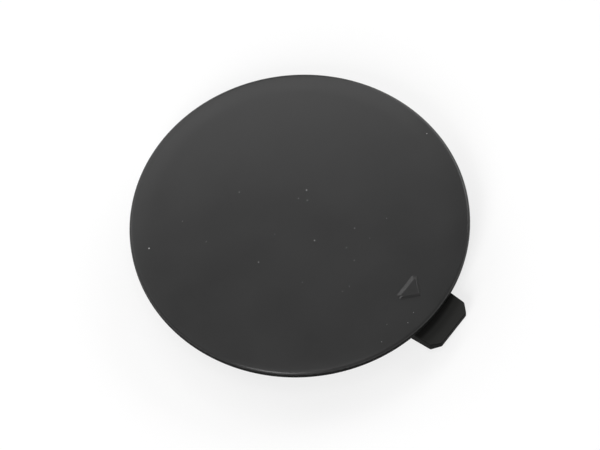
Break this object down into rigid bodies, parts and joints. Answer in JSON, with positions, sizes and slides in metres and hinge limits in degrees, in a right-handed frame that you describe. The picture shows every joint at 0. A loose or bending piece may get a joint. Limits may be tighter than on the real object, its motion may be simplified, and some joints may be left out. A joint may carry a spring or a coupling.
{
  "type": "tow hook cover",
  "caption": "Round snap-in cover for the towing eye opening in a car bumper: domed satin face with a raised arrowhead, slotted collar with snap fingers and a hooked tongue.",
  "frame": {"origin": "on the disc's axis, in the plane of the seat under its rim, which lies on the bumper round the opening", "axes": "+Z out of the face along the disc's axis, +X towards the tongue and the arrowhead, +Y across"},
  "size_m": [0.0759, 0.072, 0.0103],
  "materials": {
    "plastic": "satin"
  },
  "bodies": {
    "root": {"cover": "plastic"}
  },
  "joints": []
}
